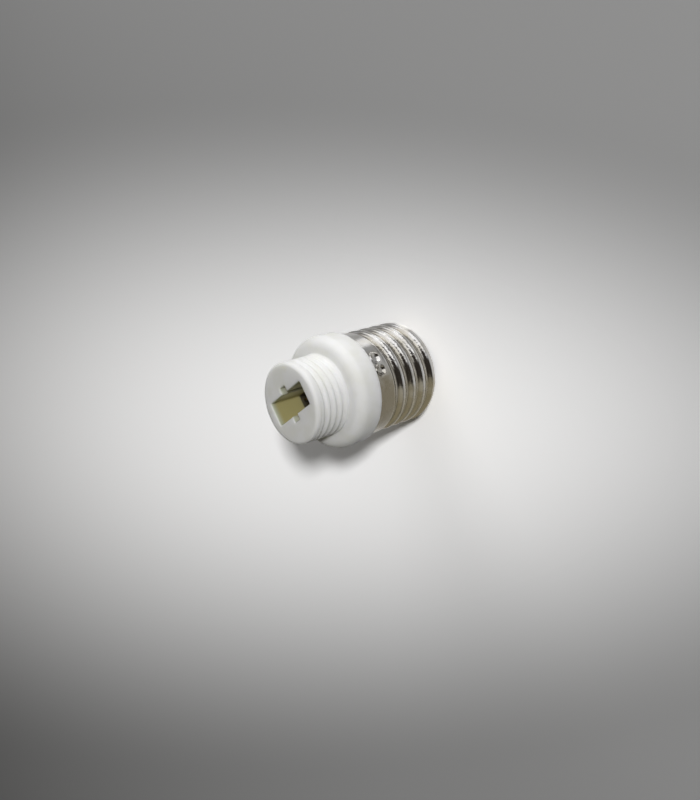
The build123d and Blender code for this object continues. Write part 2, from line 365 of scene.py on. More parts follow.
class Graph:
    """Node tree of one material or of the world."""

    def __init__(self, owner: Union[bpy.types.Material, bpy.types.World]) -> None:
        """Clears the owner's tree.

        Args:
            owner: Material or world that the nodes belong to.
        """
        owner.use_nodes = True
        self.owner = owner
        self.tree = owner.node_tree
        self.tree.nodes.clear()

    @classmethod
    def of_material(cls, name: str) -> "Graph":
        """Starts an empty material.

        Args:
            name: Name of the material.

        Returns:
            The material's graph.
        """
        return cls(bpy.data.materials.new(name))

    def node(
        self,
        kind: str,
        settings: Optional[Mapping[str, Any]] = None,
        inputs: Optional[Mapping[Any, Any]] = None,
    ) -> bpy.types.Node:
        """Adds any node.

        Args:
            kind: Type of the node.
            settings: Properties, set before the sockets.
            inputs: Values or links by socket name or number.

        Returns:
            The node.
        """
        node = self.tree.nodes.new(kind)
        for key, setting in (settings or {}).items():
            setattr(node, key, setting)
        for key, value in (inputs or {}).items():
            source = value.socket if isinstance(value, Value) else value
            if isinstance(source, bpy.types.NodeSocket):
                self.tree.links.new(source, node.inputs[key])
            else:
                node.inputs[key].default_value = source
        return node

    def math(self, operation: str, first: Operand, second: Operand) -> Value:
        """Adds a Math node.

        Args:
            operation: Name of the operation.
            first: First operand.
            second: Second operand.

        Returns:
            The result.
        """
        node = self.node("ShaderNodeMath", {"operation": operation}, {0: first, 1: second})
        return Value(self, node.outputs[0])

    def place(self) -> bpy.types.NodeSocket:
        """Object coordinates in millimetres."""
        return self.scale(self.node("ShaderNodeTexCoord").outputs["Object"], 1 / MM)

    def scale(self, vector: Any, factor: Operand) -> bpy.types.NodeSocket:
        """A vector or colour times a factor.

        Args:
            vector: Vector or its socket.
            factor: What it is multiplied by.

        Returns:
            The product.
        """
        node = self.node("ShaderNodeVectorMath", {"operation": "SCALE"}, {0: vector, "Scale": factor})
        return node.outputs[0]

    def axes(self, place: bpy.types.NodeSocket) -> tuple[Value, Value, Value]:
        """The three coordinates of a place.

        Args:
            place: Vector socket.

        Returns:
            X, Y and Z.
        """
        split = self.node("ShaderNodeSeparateXYZ", inputs={0: place})
        return Value(self, split.outputs[0]), Value(self, split.outputs[1]), Value(self, split.outputs[2])

    def dot(self, place: bpy.types.NodeSocket, way: Sequence[float]) -> Value:
        """How far a place lies along a direction.

        Args:
            place: Vector socket.
            way: Direction of length 1.

        Returns:
            The dot product of the two.
        """
        node = self.node("ShaderNodeVectorMath", {"operation": "DOT_PRODUCT"}, {0: place, 1: tuple(way)})
        return Value(self, node.outputs["Value"])

    def noise(self, place: bpy.types.NodeSocket, pattern: Pattern) -> Value:
        """A noise pattern from 0 to 1.

        Args:
            place: Vector socket.
            pattern: Pattern that is laid over the places.

        Returns:
            The pattern's value.
        """
        if pattern.stretch is not None:
            factors = {0: place, 1: pattern.stretch}
            place = self.node("ShaderNodeVectorMath", {"operation": "MULTIPLY"}, factors).outputs[0]
        inputs = {"Vector": place, "Scale": pattern.scale, "Detail": pattern.detail}
        noise = Value(self, self.node("ShaderNodeTexNoise", inputs=inputs).outputs["Fac"])
        return noise if pattern.band is None else self.ramp(noise, *pattern.band)

    def ramp(self, value: Operand, low: float, high: float) -> Value:
        """Smooth ramp from 0 at low to 1 at high.

        Args:
            value: Value to map.
            low: Where the ramp starts.
            high: Where the ramp ends. It may be below low, and the ramp then falls.

        Returns:
            The ramp.
        """
        falling = high < low
        first, last = (high, low) if falling else (low, high)
        node = self.node(
            "ShaderNodeMapRange",
            {"interpolation_type": "SMOOTHSTEP"},
            {"Value": value, "From Min": first, "From Max": last},
        )
        rising = Value(self, node.outputs["Result"])
        return 1 - rising if falling else rising

    def mix(self, share: Operand, first: Any, second: Any) -> bpy.types.NodeSocket:
        """Mix of two colours.

        Args:
            share: Share of the second colour.
            first: First colour or its socket.
            second: Second colour or its socket.

        Returns:
            The mixed colour.
        """
        node = self.node("ShaderNodeMix", {"data_type": "RGBA"}, {0: share, 6: first, 7: second})
        return node.outputs[2]

    def seen(self) -> Value:
        """Tells what is seen from what only gives light.

        Returns:
            1 where a surface or the world is seen directly, in a mirror or through glass, and otherwise 0.
        """
        path = self.node("ShaderNodeLightPath").outputs
        direct = self.math("MAXIMUM", Value(self, path["Is Camera Ray"]), Value(self, path["Is Glossy Ray"]))
        return self.math("MAXIMUM", direct, Value(self, path["Is Transmission Ray"]))

    def bump(
        self, height: Value, depth: float, below: Optional[bpy.types.NodeSocket] = None
    ) -> bpy.types.NodeSocket:
        """Normal of a surface raised by a height.

        Args:
            height: Height from 0 to 1.
            depth: What a height of 1 measures in millimetres.
            below: Normal that the height is added to.

        Returns:
            The normal.
        """
        inputs = {"Height": height, "Distance": depth * MM, "Strength": 1.0}
        if below is not None:
            inputs["Normal"] = below
        return self.node("ShaderNodeBump", inputs=inputs).outputs[0]

    def shade(self, inputs: Mapping[str, Any]) -> bpy.types.Material:
        """Ends the graph with a Principled shader.

        Args:
            inputs: Values or links of the shader's sockets.

        Returns:
            The finished material.
        """
        shader = self.node("ShaderNodeBsdfPrincipled", inputs=inputs)
        self.node("ShaderNodeOutputMaterial", inputs={"Surface": shader.outputs[0]})
        return self.owner


# View and finishes


@dataclass(frozen=True)
class View:
    """Where the picture is taken from, and how it is turned.

    Attributes:
        place: Place of the eye in millimetres.
        right: Direction of the picture's right.
        up: Direction of the picture's top.
    """

    place: Triple = (149.34, -35.23, 154.83)
    right: Triple = (0.5376, -0.4268, -0.7272)
    up: Triple = (0.3910, 0.8903, -0.2335)

    def frame(self) -> tuple[Vector, Vector, Vector]:
        """Right, up and back as directions of length 1."""
        right, up = Vector(self.right).normalized(), Vector(self.up).normalized()
        return right, up, right.cross(up)


class Finish(ABC):
    """A surface finish that can be made into a material."""

    @abstractmethod
    def material(self) -> bpy.types.Material:
        """Builds the material."""


@dataclass(frozen=True)
class MouldedWhite(Finish):
    """White moulding compound with a satin skin, and painted shade in the slot: olive walls, darker still in
    the chambers under it.

    Attributes:
        skin: Colour of the outside.
        shade: Colour that the faint mottling goes to.
        side: Colour of the slot's long walls below the edge, painted a little lighter and warmer than the
            skin in place of light bounced in the slot.
        end: Painted shade of the slot's end walls below the edge, olive.
        notch: Painted shade of the notches' walls.
        edge: Painted shade just below the slot's mouth, which dims the lit round there.
        chamber: Painted shade of the chambers' walls, dark.
        face_z: Height of the slot's mouth.
        edge_fade: Depths between which the edge's colour comes in.
        slot_fade: Depths between which it gives way to the slot's colour.
        chamber_shade_fade: Depths between which the chambers' colour comes in.
        reach: Half length and half width of the region that these colours fill.
        notch_reach: The same for the notches.
        border: Width of the regions' soft borders.
        end_fade: Squares of X between which the long walls' colour gives way to the end walls'.
        cloud: Faint mottling.
        cloud_share: How far the mottling goes to its colour.
        grain: Fine grain of the skin.
        grain_depth: Depth of the grain.
        pits: Coarser unevenness.
        pit_depth: Depth of the unevenness.
        rough: Roughness, and what the unevenness adds.
    """

    skin: Colour = srgb(232, 232, 231)
    shade: Colour = srgb(225, 225, 219)
    side: Colour = srgb(240, 238, 218)
    end: Colour = srgb(170, 162, 114)
    notch: Colour = srgb(190, 188, 168)
    edge: Colour = srgb(180, 183, 164)
    chamber: Colour = srgb(84, 78, 62)
    face_z: float = Node.SOCKET.high(2)
    edge_fade: Span = (0.0, 0.35)
    slot_fade: Span = (0.25, 1.9)
    chamber_shade_fade: Span = (8.6, 9.4)
    reach: Span = (8.3, 3.2)
    notch_reach: Span = (1.1, 4.6)
    border: float = 0.3
    end_fade: Span = (3.0, 40.0)
    cloud: Pattern = Pattern(0.22, 4.0, (0.38, 0.68))
    cloud_share: float = 0.7
    grain: Pattern = Pattern(5.5, 2.0)
    grain_depth: float = 0.004
    pits: Pattern = Pattern(1.6, 5.0)
    pit_depth: float = 0.012
    rough: Span = (0.42, 0.16)

    def region(self, x: Value, y: Value, reach: Span) -> Value:
        """A box round the axis with soft borders: falling ramps on the squares of X and Y, multiplied.

        Args:
            x: X coordinate.
            y: Y coordinate.
            reach: Half length along X and half width along Y.

        Returns:
            1 inside the box and 0 beyond its borders.
        """
        fade_x, fade_y = (((half + self.border) ** 2, half**2) for half in reach)
        return x.graph.ramp(x * x, *fade_x) * y.graph.ramp(y * y, *fade_y)

    def material(self) -> bpy.types.Material:
        """Builds the moulded plastic.

        Returns:
            The material.
        """
        g = Graph.of_material("moulded_white")
        place = g.place()
        x, y, z = g.axes(place)
        notches = self.region(x, y, self.notch_reach)
        opening = g.math("MAXIMUM", self.region(x, y, self.reach), notches)
        down = self.face_z - z
        # Painted shade in the slot: olive walls, long walls painted lighter, and a dimmed mouth.
        slot_shade = g.mix(g.ramp(x * x, *self.end_fade), self.side, self.end)
        slot_shade = g.mix(notches, slot_shade, self.notch)
        slot_shade = g.mix(g.ramp(down, *self.slot_fade), self.edge, slot_shade)
        colour = g.mix(g.noise(place, self.cloud) * self.cloud_share, self.skin, self.shade)
        colour = g.mix(opening * g.ramp(down, *self.edge_fade), colour, slot_shade)
        # Painted shade: the chambers' walls are darkened in colour.
        colour = g.mix(opening * g.ramp(down, *self.chamber_shade_fade), colour, self.chamber)
        pits = g.noise(place, self.pits)
        relief = g.bump(pits, self.pit_depth, g.bump(g.noise(place, self.grain), self.grain_depth))
        rough, by_pits = self.rough
        return g.shade(
            {
                "Base Color": colour,
                "Roughness": rough + by_pits * pits,
                "IOR": 1.5,
                "Subsurface Weight": 0.7,
                "Subsurface Radius": (1.0, 1.0, 0.9),
                "Subsurface Scale": 3.0 * MM,
                "Normal": relief,
            }
        )


@dataclass(frozen=True)
class RolledNickel(Finish):
    """Nickel-plated sheet with fine rolling lines, painted shade in the thread's roots, a painted dark olive
    reflection on one side and wrinkles beside the stakes.

    Attributes:
        plate: Colour of the bright plating.
        warm: Colour of the patches where the plating is thin.
        root: Painted shade down in the thread's roots.
        painted_side_shade: Colour of the painted dark olive reflection on one side.
        tarnish_and_shade: Darker colour of that painted reflection on the skirt.
        root_r: Radius of the roots.
        crest_r: Radius at which the roots' tone has gone.
        side_shade_way: Direction of the side with the painted dark reflection.
        side_shade_fade: Cosines from that direction between which the painted reflection comes in.
        skirt_side_shade: How much sooner the painted reflection comes in on the plain skirt.
        skirt_z: Heights between which the thread gives way to the skirt.
        side_shade_break: How far the patches move the painted reflection's edge.
        wrinkle_turn: Direction of the first row of wrinkles in degrees.
        wrinkle_count: Rows of wrinkles round the shell.
        wrinkle_row: Cosines between which a row comes in.
        wrinkle_z: Heights between which the wrinkles fade out above.
        wrinkles: Pattern of the wrinkles.
        wrinkle_depth: Depth of the wrinkles.
        ripple: Slight unevenness of the sheet.
        ripple_depth: Depth of the unevenness.
        lines: Rolling lines round the shell.
        line_depth: Depth of the lines.
        patches: Patches of thin plating.
        specks: Small dark specks.
        warm_share: How far the patches go to their colour.
        root_shade_share: How far the roots go to their painted shade.
        speck_share: How far the specks go to the roots' colour.
        side_shade_share: How far the painted reflection goes to its colour.
        tarnish_and_shade_share: How far the painted reflection on the skirt goes to its darker colour.
        rough: Roughness, and what the lines, patches, roots and the painted reflection's side add.
    """

    plate: Colour = srgb(193, 192, 191)
    warm: Colour = srgb(170, 165, 153)
    root: Colour = srgb(140, 132, 114)
    painted_side_shade: Colour = srgb(146, 138, 117)
    tarnish_and_shade: Colour = srgb(112, 104, 87)
    root_r: float = 12.1
    crest_r: float = 12.75
    side_shade_way: Triple = (-0.407, -0.914, 0.0)
    side_shade_fade: Span = (-0.2, 0.6)
    skirt_side_shade: float = 0.45
    skirt_z: Span = (20.6, 21.6)
    side_shade_break: float = 0.16
    wrinkle_turn: float = 12.0
    wrinkle_count: int = 3
    wrinkle_row: Span = (0.62, 0.96)
    wrinkle_z: Span = (22.5, 21.5)
    wrinkles: Pattern = Pattern(1.5, 2.0)
    wrinkle_depth: float = 0.16
    ripple: Pattern = Pattern(1.1, 2.0)
    ripple_depth: float = 0.02
    lines: Pattern = Pattern(1.0, 4.0, stretch=(0.18, 0.18, 9.0))
    line_depth: float = 0.006
    patches: Pattern = Pattern(0.35, 4.0, (0.42, 0.66))
    specks: Pattern = Pattern(2.4, 3.0, (0.62, 0.74))
    warm_share: float = 0.5
    root_shade_share: float = 0.6
    speck_share: float = 0.25
    side_shade_share: float = 0.9
    tarnish_and_shade_share: float = 0.6
    rough: tuple[float, float, float, float, float] = (0.09, 0.08, 0.05, 0.02, 0.12)

    def material(self) -> bpy.types.Material:
        """Builds the plated metal.

        Returns:
            The material.
        """
        g = Graph.of_material("rolled_nickel")
        place = g.place()
        x, y, z = g.axes(place)
        radius = (x * x + y * y) ** 0.5
        lines, patches = g.noise(place, self.lines), g.noise(place, self.patches)
        specks = g.noise(place, self.specks)
        low = g.ramp(radius, self.crest_r, self.root_r)
        skirt = g.ramp(z, *self.skirt_z)
        facing = g.dot(place, self.side_shade_way) / radius + self.skirt_side_shade * skirt
        side_shade = g.ramp(facing + self.side_shade_break * (patches - 0.5), *self.side_shade_fade)
        colour = g.mix(patches * self.warm_share, self.plate, self.warm)
        # Painted shade: the thread's roots are darkened in colour.
        colour = g.mix(low * self.root_shade_share, colour, self.root)
        colour = g.mix(specks * self.speck_share, colour, self.root)
        # Painted dark olive reflection on one side, darker on the skirt.
        colour = g.mix(side_shade * self.side_shade_share, colour, self.painted_side_shade)
        colour = g.mix(side_shade * skirt * self.tarnish_and_shade_share, colour, self.tarnish_and_shade)
        rough, by_lines, by_patches, by_low, by_side_shade = self.rough
        round_axis = g.math("ARCTAN2", y, x) - math.radians(self.wrinkle_turn)
        row = g.ramp(g.math("COSINE", round_axis * self.wrinkle_count, 0.0), *self.wrinkle_row)
        wrinkles = g.noise(place, self.wrinkles) * row * g.ramp(z, *self.wrinkle_z)
        relief = g.bump(g.noise(place, self.ripple), self.ripple_depth)
        relief = g.bump(wrinkles, self.wrinkle_depth, relief)
        return g.shade(
            {
                "Base Color": colour,
                "Metallic": 1.0,
                "Roughness": rough + by_lines * lines + by_patches * patches + by_low * low + by_side_shade * side_shade,
                "Normal": g.bump(lines, self.line_depth, relief),
            }
        )


@dataclass(frozen=True)
class PressedInsulator(Finish):
    """Dark pressed insulating compound with a faint fleck.

    Attributes:
        ground: Main colour.
        fleck: Colour of the flecks.
        flecks: Pattern of the flecks.
        fleck_share: How far the flecks go to their colour.
        fleck_depth: Height of the flecks.
        swirl: Pattern of the gloss.
        rough: Roughness, and what the swirl adds.
    """

    ground: Colour = srgb(46, 43, 41)
    fleck: Colour = srgb(84, 78, 72)
    flecks: Pattern = Pattern(3.0, 5.0, (0.56, 0.7))
    fleck_share: float = 0.6
    fleck_depth: float = 0.01
    swirl: Pattern = Pattern(0.5, 3.0)
    rough: Span = (0.28, 0.2)

    def material(self) -> bpy.types.Material:
        """Builds the insulating compound.

        Returns:
            The material.
        """
        g = Graph.of_material("pressed_insulator")
        place = g.place()
        flecks = g.noise(place, self.flecks)
        rough, by_swirl = self.rough
        return g.shade(
            {
                "Base Color": g.mix(flecks * self.fleck_share, self.ground, self.fleck),
                "Roughness": rough + by_swirl * g.noise(place, self.swirl),
                "Normal": g.bump(flecks, self.fleck_depth),
            }
        )


@dataclass(frozen=True)
class TurnedContact(Finish):
    """Plated contact button with turning rings and small scuffs.

    Attributes:
        plate: Colour of the plating.
        scuff: Colour of the rubbed patches.
        rings: Turning rings, by the distance from the axis.
        ring_depth: Depth of the rings.
        scuffs: Pattern of the rubbed patches.
        scuff_share: How far the patches go to their colour.
        rough: Roughness, and what the rings and patches add.
    """

    plate: Colour = srgb(205, 200, 190)
    scuff: Colour = srgb(176, 160, 126)
    rings: Pattern = Pattern(7.0, 3.0)
    ring_depth: float = 0.012
    scuffs: Pattern = Pattern(0.9, 4.0, (0.5, 0.68))
    scuff_share: float = 0.7
    rough: Triple = (0.2, 0.14, 0.1)

    def material(self) -> bpy.types.Material:
        """Builds the contact metal.

        Returns:
            The material.
        """
        g = Graph.of_material("turned_contact")
        place = g.place()
        x, y, _ = g.axes(place)
        ring = g.node("ShaderNodeCombineXYZ", inputs={0: (x * x + y * y) ** 0.5})
        rings, scuffs = g.noise(ring.outputs[0], self.rings), g.noise(place, self.scuffs)
        rough, by_rings, by_scuffs = self.rough
        return g.shade(
            {
                "Base Color": g.mix(scuffs * self.scuff_share, self.plate, self.scuff),
                "Metallic": 1.0,
                "Roughness": rough + by_rings * rings + by_scuffs * scuffs,
                "Normal": g.bump(rings, self.ring_depth),
            }
        )


@dataclass(frozen=True)
class SpringBrass(Finish):
    """Rolled spring strip with the grain along its length and tarnished patches.

    Attributes:
        strip: Colour of clean strip.
        tarnish_and_shade: Colour of the tarnished patches.
        grain: Rolling grain.
        grain_depth: Depth of the grain.
        patches: Pattern of the tarnish.
        tarnish_and_shade_share: How far the patches go to their colour.
        rough: Roughness, and what the grain and the patches add.
    """

    strip: Colour = srgb(170, 144, 94)
    tarnish_and_shade: Colour = srgb(92, 76, 50)
    grain: Pattern = Pattern(1.0, 3.0, stretch=(7.0, 7.0, 0.5))
    grain_depth: float = 0.006
    patches: Pattern = Pattern(0.6, 4.0, (0.45, 0.7))
    tarnish_and_shade_share: float = 0.7
    rough: Triple = (0.24, 0.12, 0.14)

    def material(self) -> bpy.types.Material:
        """Builds the spring strip.

        Returns:
            The material.
        """
        g = Graph.of_material("spring_brass")
        place = g.place()
        grain, patches = g.noise(place, self.grain), g.noise(place, self.patches)
        rough, by_grain, by_patches = self.rough
        return g.shade(
            {
                "Base Color": g.mix(patches * self.tarnish_and_shade_share, self.strip, self.tarnish_and_shade),
                "Metallic": 1.0,
                "Roughness": rough + by_grain * grain + by_patches * patches,
                "Normal": g.bump(grain, self.grain_depth),
            }
        )


@dataclass(frozen=True)
class FibreBoard(Finish):
    """Brown insulating board with short fibres.

    Attributes:
        board: Main colour.
        fibre: Colour of the fibres.
        fibres: Pattern of the fibres.
        fibre_depth: Height of the fibres.
        rough: Roughness, and what the fibres add.
    """

    board: Colour = srgb(136, 98, 62)
    fibre: Colour = srgb(172, 134, 92)
    fibres: Pattern = Pattern(1.0, 4.0, (0.45, 0.65), (1.2, 6.0, 3.0))
    fibre_depth: float = 0.02
    rough: Span = (0.6, 0.2)

    def material(self) -> bpy.types.Material:
        """Builds the board.

        Returns:
            The material.
        """
        g = Graph.of_material("fibre_board")
        fibres = g.noise(g.place(), self.fibres)
        rough, by_fibres = self.rough
        return g.shade(
            {
                "Base Color": g.mix(fibres, self.board, self.fibre),
                "Roughness": rough + by_fibres * fibres,
                "Normal": g.bump(fibres, self.fibre_depth),
            }
        )


@dataclass(frozen=True)
class PaleFloor(Finish):
    """Pale grey paper with a painted pool of light: it darkens away from the object.

    Where it is seen directly or in a shiny surface, the paper is shown lighter than the light that it sends
    back to the object, so the background is pale while the object keeps its own shading.

    Attributes:
        paper: Share of the light that goes back to the object.
        near: Lightness round the object as it is seen.
        far: Lightness at the edge of the picture.
        reach: Shares of the oval's half lengths between which the lightness changes.
        centre: Middle of the oval, right and up in the view, as shares of the distance.
        half: Half length and half width of the oval in the same measure.
        tint: Colour of the paper.
        view: View in which the pale patch is a level oval.
        painted_reflection: Lightness of a painted bright patch on the paper that only shiny surfaces show.
        reflection_start: Directions in degrees between which the painted patch begins.
        reflection_end: Directions in degrees between which it ends.
    """

    paper: float = 0.25
    near: float = 1.68
    far: float = 0.425
    reach: Span = (0.04, 1.0)
    centre: Span = (-0.122, -0.046)
    half: Span = (0.952, 0.426)
    tint: Colour = (1.0, 0.998, 0.998, 1.0)
    view: View = View()
    painted_reflection: float = 1.7
    reflection_start: Span = (46.0, 58.0)
    reflection_end: Span = (80.0, 66.0)

    def material(self) -> bpy.types.Material:
        """Builds the floor's paper.

        Returns:
            The material.
        """
        g = Graph.of_material("pale_floor")
        place = g.place()
        ray = g.node("ShaderNodeVectorMath", {"operation": "SUBTRACT"}, {0: place, 1: self.view.place})
        across, rise, back = (g.dot(ray.outputs[0], way) for way in self.view.frame())
        ahead = 0 - back
        length = (across / ahead - self.centre[0]) / self.half[0]
        width = (rise / ahead - self.centre[1]) / self.half[1]
        # Painted pool of light: lighter round the object, fading over an oval in the view.
        away = g.ramp((length * length + width * width) ** 0.5, *self.reach)
        level = self.paper + g.seen() * (self.near + (self.far - self.near) * away - self.paper)
        x, y, _ = g.axes(place)
        turn = g.math("ARCTAN2", y, x)
        # Painted reflection: a bright patch of paper that only shiny surfaces show.
        painted_reflection = g.ramp(turn, *np.radians(self.reflection_start)) * g.ramp(turn, *np.radians(self.reflection_end))
        level = level + self.painted_reflection * painted_reflection * Value(g, g.node("ShaderNodeLightPath").outputs["Is Glossy Ray"])
        diffuse = g.node("ShaderNodeBsdfDiffuse", inputs={"Color": g.scale(self.tint[:3], level)})
        g.node("ShaderNodeOutputMaterial", inputs={"Surface": diffuse.outputs[0]})
        return g.owner


# Pieces


def make_piece(
    name: str, sheets: Sequence[Sheet], finish: Finish, stands_for: Node, crease: float = 35.0
) -> None:
    """Makes an object of sheets, dresses it and fixes it to the part.

    Args:
        name: Name of the piece.
        sheets: Surfaces in millimetres.
        finish: Finish of the piece.
        stands_for: Node that the piece replaces.
        crease: Angle in degrees above which an edge is shaded sharp.
    """
    vertices: list[Array] = []
    faces: list[list[int]] = []
    count = 0
    for sheet in sheets:
        points, corners = sheet.mesh_data(count)
        vertices.append(points)
        faces += corners
        count += len(points)
    mesh = bpy.data.meshes.new(name)
    mesh.from_pydata((np.concatenate(vertices) * MM).tolist(), [], faces)
    merged = bmesh.new()
    merged.from_mesh(mesh)
    bmesh.ops.remove_doubles(merged, verts=merged.verts, dist=MERGE_DISTANCE)
    merged.to_mesh(mesh)
    merged.free()
    mesh.shade_smooth()
    mesh.set_sharp_from_angle(angle=math.radians(crease))
    mesh.materials.append(finish.material())
    piece = bpy.data.objects.new(name, mesh)
    bpy.context.scene.collection.objects.link(piece)
    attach(piece, BODY)
    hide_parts(stands_for.value)
    LOG.info("%s: %d faces, stands for %s", name, len(mesh.polygons), stands_for.value)


@dataclass
class SocketBody:
    """White body: threaded nose with the lamp slot, round collar, and spigot inside the shell.

    Heights are along the axis and radii from it. The slot's sizes are half lengths.
    """

    face_z: float = Node.SOCKET.high(2)
    collar_r: float = Node.SOCKET.high(0)
    rim_z: float = Node.SHELL.high(2)
    plate_z: float = Node.PLATE.high(2)
    collar_height: float = 6.9
    collar_round: float = 2.6
    collar_foot_round: float = 0.35
    nose_r: float = 10.0
    seat_round: float = 0.35
    rim_round: float = 0.9
    groove_pitch: float = 1.87
    groove_depth: float = 0.66
    groove_first: float = 2.8
    groove_azimuth: float = -20.0
    groove_sharpness: float = 1.5
    groove_start: Span = (1.2, 1.9)
    groove_end: Span = (0.8, 0.25)
    slot_half: Span = (6.8, 2.9)
    slot_corner: float = 0.35
    notch_half: Span = (1.0, 4.4)
    notch_corner: float = 0.25
    mouth_round: float = 0.45
    slot_depth: float = 9.0
    chamber_half: Span = (8.2, 2.9)
    partition_half: float = 1.1
    partition_round: float = 0.25
    spigot_r: float = 12.25
    spigot_z: float = 23.0
    core_r: float = 11.65
    core_end_z: float = 17.0
    bore_r: float = 9.6
    columns: int = 360
    chamber_rows: int = 4
    wall_rows: int = 14
    mouth_rows: int = 7
    face_rows: int = 12
    nose_rows: int = 130
    crease: float = 50.0
    finish: Finish = MouldedWhite()

    def theta(self) -> Array:
        """Angles round the axis, closer together at the corners of the slot and its notches.

        Returns:
            The angles in radians.
        """
        corner_x, corner_y = self.slot_half
        notch_x, notch_y = self.notch_half
        corners = np.array(
            [(corner_x, corner_y), (notch_x, corner_y), (notch_x, notch_y - self.notch_corner / 2)]
        )
        first = np.degrees(np.arctan2(corners[:, 1], corners[:, 0]))
        return angles(self.columns, np.concatenate([first, -first, 180 - first, first - 180]))

    def slot_outline(self, theta: Array, out: Array) -> Array:
        """Distance to the slot's outline, moved outwards: the larger of the slot's and notches' rectangles.

        Args:
            theta: Angles in radians.
            out: How far the outline is moved out, one value for each row.

        Returns:
            The distance [row, angle].
        """
        slot = rounded_rectangle(
            theta[None, :], self.slot_half[0] + out, self.slot_half[1] + out, self.slot_corner + out
        )
        notch = rounded_rectangle(
            theta[None, :], self.notch_half[0] + out, self.notch_half[1] + out, self.notch_corner + out
        )
        return np.maximum(slot, notch)

    def groove(self, theta: Array, height: Array) -> Array:
        """Depth of the nose's round thread at each angle and height.

        The depth is a power of (1 + cos φ) / 2. The phase φ grows by a turn for each pitch down from the
        face and for each turn round the axis, so the groove climbs as a right-hand screw. A ramp below the
        face leaves the rim plain, and another ends the groove above the collar.

        Args:
            theta: Angles in radians.
            height: Heights that broadcast with the angles.

        Returns:
            The depth [row, angle].
        """
        below = self.face_z - height
        turn = (theta[None, :] - math.radians(self.groove_azimuth)) / (2 * math.pi)
        phase = 2 * math.pi * ((below - self.groove_first) / self.groove_pitch + turn)
        valley = ((1 + np.cos(phase)) / 2) ** self.groove_sharpness
        nose = self.face_z - self.rim_z - self.collar_height
        start = smoothstep(*self.groove_start, below)
        end = 1 - smoothstep(*(nose - np.array(self.groove_end)), below)
        return self.groove_depth * valley * start * end

    def inside_rows(self, theta: Array) -> tuple[Array, Array]:
        """Rows from the chambers' foot up the slot's wall, round its mouth and out over the face.

        Args:
            theta: Angles in radians.

        Returns:
            Radii and heights [row, angle].
        """
        floor_z = self.face_z - self.slot_depth
        chamber = rounded_rectangle(theta, *self.chamber_half, self.slot_corner)
        wall_z = np.linspace(floor_z, self.face_z - self.mouth_round, self.wall_rows)
        lift = np.radians(np.linspace(0, 90, self.mouth_rows))[1:]
        wall = self.slot_outline(theta, np.zeros((len(wall_z), 1)))
        mouth = self.slot_outline(theta, self.mouth_round * (1 - np.cos(lift))[:, None])
        edge = self.nose_r - self.rim_round
        share = np.linspace(0, 1, self.face_rows, endpoint=False)[1:, None]
        face = mouth[-1] + share * (edge - mouth[-1])
        radius = np.vstack([np.repeat(chamber[None, :], self.chamber_rows, axis=0), wall, mouth, face])
        height = np.concatenate(
            [
                np.linspace(self.plate_z, floor_z, self.chamber_rows),
                wall_z,
                self.face_z - self.mouth_round * (1 - np.sin(lift)),
                np.full(len(share), self.face_z),
            ]
        )
        return radius, np.repeat(height[:, None], len(theta), axis=1)

    def outside_rows(self, theta: Array) -> tuple[Array, Array]:
        """Rows from the face's rim down the nose and collar and round the core back to the chambers.

        Args:
            theta: Angles in radians.

        Returns:
            Radii and heights [row, angle].
        """
        top = self.rim_z + self.collar_height
        rim, big, foot, seat = self.rim_round, self.collar_round, self.collar_foot_round, self.seat_round
        profile = np.vstack(
            [
                arc((self.nose_r - rim, self.face_z - rim), rim, 90, 0, 10)[:-1],
                line((self.nose_r, self.face_z - rim), (self.nose_r, top + seat), self.nose_rows),
                arc((self.nose_r + seat, top + seat), seat, 180, 270, 6),
                line((self.nose_r + 1.5 * seat, top), (self.collar_r - big, top), 4),
                arc((self.collar_r - big, top - big), big, 90, 0, 18)[:-1],
                line((self.collar_r, top - big), (self.collar_r, self.rim_z + foot), 8),
                arc((self.collar_r - foot, self.rim_z + foot), foot, 0, -90, 6),
                line((self.spigot_r, self.rim_z), (self.spigot_r, self.spigot_z), 3),
                line((self.core_r, self.spigot_z), (self.core_r, self.core_end_z), 4),
                line((self.core_r, self.core_end_z), (self.bore_r, self.core_end_z), 2),
                line((self.bore_r, self.core_end_z), (self.bore_r, self.plate_z), 3),
                np.array([[self.bore_r, self.plate_z]]),
            ]
        )
        radius = np.repeat(profile[:, :1], len(theta), axis=1)
        height = np.repeat(profile[:, 1:], len(theta), axis=1)
        on_nose = np.isclose(radius, self.nose_r) & (height > top)
        return radius - np.where(on_nose, self.groove(theta, height), 0), height

    def partition(self) -> Array:
        """Wall between the chambers: a rounded section in X and Z carried along Y.

        Returns:
            The points [row, column, xyz].
        """
        top = self.face_z - self.slot_depth
        half, bend = self.partition_half, self.partition_round
        section = np.vstack(
            [
                np.array([[-half, self.plate_z]]),
                arc((-half + bend, top - bend), bend, 180, 90, 6),
                arc((half - bend, top - bend), bend, 90, 0, 6),
                np.array([[half, self.plate_z]]),
            ]
        )
        stations = np.linspace(self.slot_half[1], -self.slot_half[1], 5)
        x, y = np.broadcast_arrays(section[None, :, 0], stations[:, None])
        z = np.broadcast_to(section[None, :, 1], x.shape)
        return np.stack([x, y, z], axis=-1)

    def build(self) -> None:
        """Makes the body: a skin of the inside and outside rows, and the partition."""
        theta = self.theta()
        radius, height = map(np.vstack, zip(self.inside_rows(theta), self.outside_rows(theta)))
        skin = Sheet(round_grid(radius, height, theta), loop_rows=True)
        wall = Sheet(self.partition(), cap_first=True, cap_last=True)
        make_piece("moulded_body", [skin, wall], self.finish, Node.SOCKET, self.crease)


